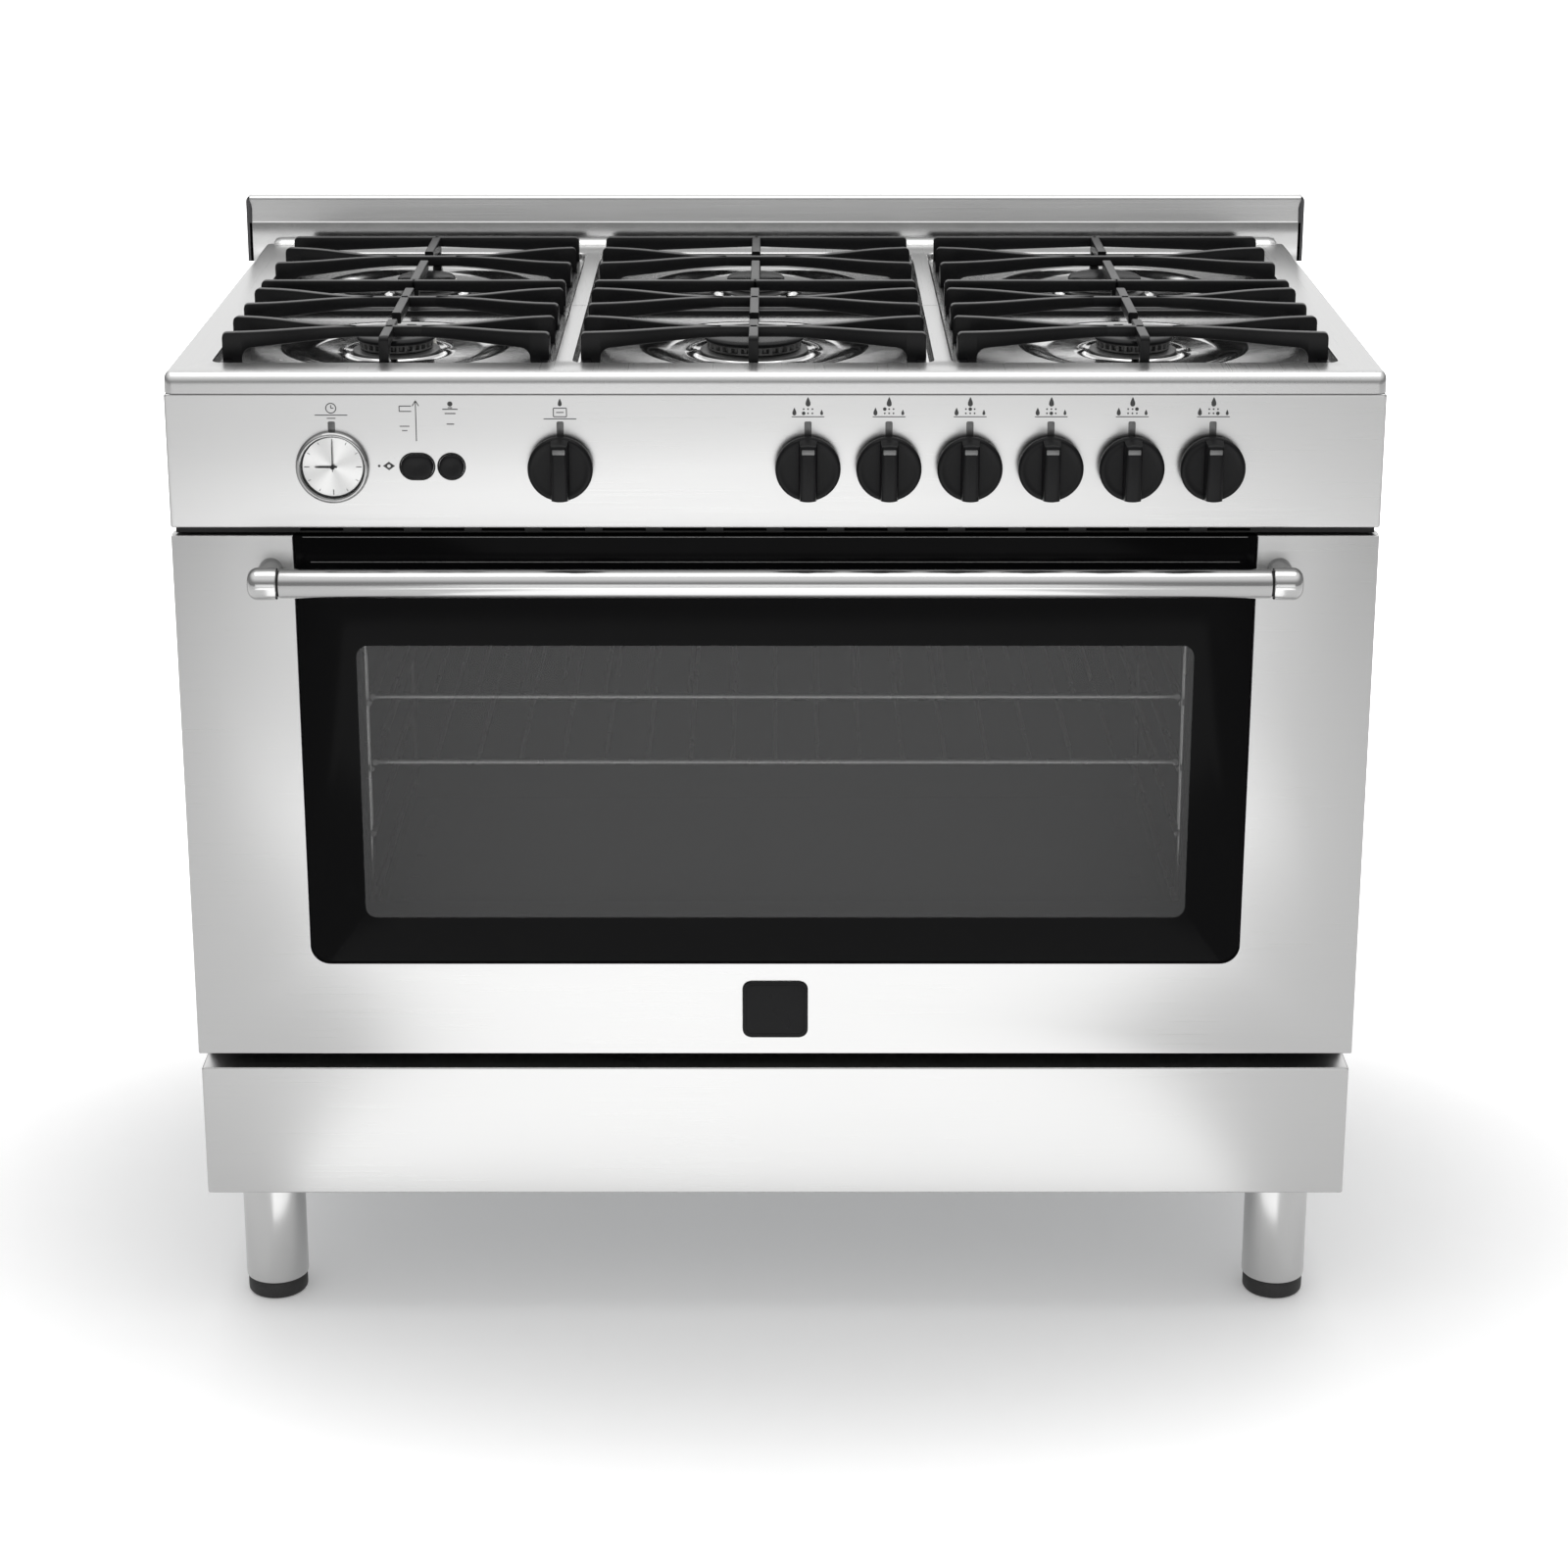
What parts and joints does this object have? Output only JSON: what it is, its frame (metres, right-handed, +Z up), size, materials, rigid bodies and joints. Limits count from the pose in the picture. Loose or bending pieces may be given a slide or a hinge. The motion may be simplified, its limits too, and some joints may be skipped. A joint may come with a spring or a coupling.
{
  "type": "freestanding gas range",
  "caption": "Wide stainless gas range on round legs: burners under cast pan supports, bar knobs and clock on a fascia, a drop-down glazed oven door with a tubular handle, and a storage drawer.",
  "frame": {"origin": "centre of the bounding box at floor level, under the feet", "axes": "+X to the user's right along the front, -Y out of the front, +Z up"},
  "size_m": [1.158, 0.722, 1.01],
  "materials": {
    "brushed": "brushed stainless steel",
    "dark_steel": "satin grey painted steel",
    "galvanised": "galvanised sheet",
    "polished": "polished stainless steel",
    "steel_rod": "turned steel",
    "wire": "chromed wire",
    "cast_iron": "matt black enamelled cast iron",
    "black_enamel": "black vitreous enamel",
    "enamel": "dark grey vitreous enamel",
    "burner_alloy": "cast aluminium",
    "black_plastic": "satin black plastic",
    "foot_plastic": "matt black plastic",
    "blanket": "mineral fibre blanket",
    "seal": "woven glass fibre",
    "brass": "plain brass and zinc",
    "black_glass": "black printed glass",
    "clear_glass": "clear glass",
    "hands": "black painted steel"
  },
  "bodies": {
    "chassis": {"side_panel_left": "dark_steel", "side_panel_right": "dark_steel", "back_panel": "galvanised", "base_pan": "galvanised", "legs": "brushed", "oven_liner": "enamel", "oven_insulation": "blanket", "door_gasket": "seal", "rack_guides": "wire", "oven_rack_upper": "wire", "oven_rack_lower": "wire", "oven_floor": "enamel", "oven_burner": "galvanised", "cooktop": "brushed", "backguard": "brushed", "burner_bases": "burner_alloy", "burner_caps": "black_enamel", "control_panel": "brushed", "clock_case": "polished", "vent_trim": "black_plastic", "gas_manifold": "brass", "power_inlet": "black_plastic", "drawer_runners": "galvanised"},
    "oven_door": {"door_frame": "brushed", "door_outer_glass": "black_glass", "door_liner": "enamel", "door_inner_glass": "clear_glass", "handle_bar": "brushed", "handle_ends": "polished", "hinge_arms": "galvanised"},
    "storage_drawer": {"drawer_front": "brushed", "drawer_box": "galvanised"},
    "hour_hand": {"hour_hand": "hands"},
    "minute_hand": {"minute_hand": "hands"},
    "oval_button": {"oval_button": "black_plastic"},
    "round_button": {"round_button": "black_plastic"},
    "oven_stem": {"oven_stem": "steel_rod"},
    "oven_knob": {"oven_knob": "black_plastic"},
    "burner_stem_1": {"burner_stem_1": "steel_rod"},
    "burner_knob_1": {"burner_knob_1": "black_plastic"},
    "burner_stem_2": {"burner_stem_2": "steel_rod"},
    "burner_knob_2": {"burner_knob_2": "black_plastic"},
    "burner_stem_3": {"burner_stem_3": "steel_rod"},
    "burner_knob_3": {"burner_knob_3": "black_plastic"},
    "burner_stem_4": {"burner_stem_4": "steel_rod"},
    "burner_knob_4": {"burner_knob_4": "black_plastic"},
    "burner_stem_5": {"burner_stem_5": "steel_rod"},
    "burner_knob_5": {"burner_knob_5": "black_plastic"},
    "burner_stem_6": {"burner_stem_6": "steel_rod"},
    "burner_knob_6": {"burner_knob_6": "black_plastic"},
    "foot_left_front": {"foot_left_front": "foot_plastic"},
    "foot_left_rear": {"foot_left_rear": "foot_plastic"},
    "foot_right_front": {"foot_right_front": "foot_plastic"},
    "foot_right_rear": {"foot_right_rear": "foot_plastic"},
    "grate_left_front": {"grate_left_front": "cast_iron"},
    "grate_left_rear": {"grate_left_rear": "cast_iron"},
    "grate_centre_front": {"grate_centre_front": "cast_iron"},
    "grate_centre_rear": {"grate_centre_rear": "cast_iron"},
    "grate_right_front": {"grate_right_front": "cast_iron"},
    "grate_right_rear": {"grate_right_rear": "cast_iron"}
  },
  "joints": [
    {"name": "door_hinge", "type": "hinge", "parent": "chassis", "child": "oven_door", "pos_m": [0, -0.285, 0.291], "axis": [1, 0, 0], "range_deg": [0, 88]},
    {"name": "drawer_slide", "type": "slide", "parent": "chassis", "child": "storage_drawer", "axis": [0, -1, 0], "range_m": [0, 0.4]},
    {"name": "clock_minute", "type": "hinge", "parent": "chassis", "child": "minute_hand", "pos_m": [-0.4065, -0.304, 0.8705], "axis": [0, 1, 0], "continuous": true},
    {"name": "clock_hour", "type": "hinge", "parent": "chassis", "child": "hour_hand", "pos_m": [-0.4065, -0.302, 0.8705], "axis": [0, 1, 0], "continuous": true},
    {"name": "oval_button_press", "type": "slide", "parent": "chassis", "child": "oval_button", "axis": [0, 1, 0], "range_m": [0, 0.003], "stiffness_N_per_m": 300, "springref_m": -0.002},
    {"name": "round_button_press", "type": "slide", "parent": "chassis", "child": "round_button", "axis": [0, 1, 0], "range_m": [0, 0.003], "stiffness_N_per_m": 300, "springref_m": -0.002},
    {"name": "oven_stem_turn", "type": "hinge", "parent": "chassis", "child": "oven_stem", "pos_m": [-0.197, -0.299, 0.8705], "axis": [0, -1, 0], "range_deg": [0, 270]},
    {"name": "oven_knob_push", "type": "slide", "parent": "oven_stem", "child": "oven_knob", "axis": [0, 1, 0], "range_m": [0, 0.004], "stiffness_N_per_m": 600, "springref_m": -0.003},
    {"name": "burner_stem_1_turn", "type": "hinge", "parent": "chassis", "child": "burner_stem_1", "pos_m": [0.03, -0.299, 0.8705], "axis": [0, -1, 0], "range_deg": [0, 220]},
    {"name": "burner_knob_1_push", "type": "slide", "parent": "burner_stem_1", "child": "burner_knob_1", "axis": [0, 1, 0], "range_m": [0, 0.004], "stiffness_N_per_m": 600, "springref_m": -0.003},
    {"name": "burner_stem_2_turn", "type": "hinge", "parent": "chassis", "child": "burner_stem_2", "pos_m": [0.1042, -0.299, 0.8705], "axis": [0, -1, 0], "range_deg": [0, 220]},
    {"name": "burner_knob_2_push", "type": "slide", "parent": "burner_stem_2", "child": "burner_knob_2", "axis": [0, 1, 0], "range_m": [0, 0.004], "stiffness_N_per_m": 600, "springref_m": -0.003},
    {"name": "burner_stem_3_turn", "type": "hinge", "parent": "chassis", "child": "burner_stem_3", "pos_m": [0.1784, -0.299, 0.8705], "axis": [0, -1, 0], "range_deg": [0, 220]},
    {"name": "burner_knob_3_push", "type": "slide", "parent": "burner_stem_3", "child": "burner_knob_3", "axis": [0, 1, 0], "range_m": [0, 0.004], "stiffness_N_per_m": 600, "springref_m": -0.003},
    {"name": "burner_stem_4_turn", "type": "hinge", "parent": "chassis", "child": "burner_stem_4", "pos_m": [0.2526, -0.299, 0.8705], "axis": [0, -1, 0], "range_deg": [0, 220]},
    {"name": "burner_knob_4_push", "type": "slide", "parent": "burner_stem_4", "child": "burner_knob_4", "axis": [0, 1, 0], "range_m": [0, 0.004], "stiffness_N_per_m": 600, "springref_m": -0.003},
    {"name": "burner_stem_5_turn", "type": "hinge", "parent": "chassis", "child": "burner_stem_5", "pos_m": [0.3268, -0.299, 0.8705], "axis": [0, -1, 0], "range_deg": [0, 220]},
    {"name": "burner_knob_5_push", "type": "slide", "parent": "burner_stem_5", "child": "burner_knob_5", "axis": [0, 1, 0], "range_m": [0, 0.004], "stiffness_N_per_m": 600, "springref_m": -0.003},
    {"name": "burner_stem_6_turn", "type": "hinge", "parent": "chassis", "child": "burner_stem_6", "pos_m": [0.401, -0.299, 0.8705], "axis": [0, -1, 0], "range_deg": [0, 220]},
    {"name": "burner_knob_6_push", "type": "slide", "parent": "burner_stem_6", "child": "burner_knob_6", "axis": [0, 1, 0], "range_m": [0, 0.004], "stiffness_N_per_m": 600, "springref_m": -0.003},
    {"name": "foot_left_front_screw", "type": "slide", "parent": "chassis", "child": "foot_left_front", "axis": [0, 0, -1], "range_m": [0, 0.03]},
    {"name": "foot_left_rear_screw", "type": "slide", "parent": "chassis", "child": "foot_left_rear", "axis": [0, 0, -1], "range_m": [0, 0.03]},
    {"name": "foot_right_front_screw", "type": "slide", "parent": "chassis", "child": "foot_right_front", "axis": [0, 0, -1], "range_m": [0, 0.03]},
    {"name": "foot_right_rear_screw", "type": "slide", "parent": "chassis", "child": "foot_right_rear", "axis": [0, 0, -1], "range_m": [0, 0.03]},
    {"name": "grate_left_front_lift", "type": "slide", "parent": "chassis", "child": "grate_left_front", "axis": [0, 0, 1], "range_m": [0, 0.12]},
    {"name": "grate_left_rear_lift", "type": "slide", "parent": "chassis", "child": "grate_left_rear", "axis": [0, 0, 1], "range_m": [0, 0.12]},
    {"name": "grate_centre_front_lift", "type": "slide", "parent": "chassis", "child": "grate_centre_front", "axis": [0, 0, 1], "range_m": [0, 0.12]},
    {"name": "grate_centre_rear_lift", "type": "slide", "parent": "chassis", "child": "grate_centre_rear", "axis": [0, 0, 1], "range_m": [0, 0.12]},
    {"name": "grate_right_front_lift", "type": "slide", "parent": "chassis", "child": "grate_right_front", "axis": [0, 0, 1], "range_m": [0, 0.12]},
    {"name": "grate_right_rear_lift", "type": "slide", "parent": "chassis", "child": "grate_right_rear", "axis": [0, 0, 1], "range_m": [0, 0.12]}
  ],
  "couplings": [
    {"joint": "clock_hour", "follows": "clock_minute", "ratio": 0.083333}
  ]
}
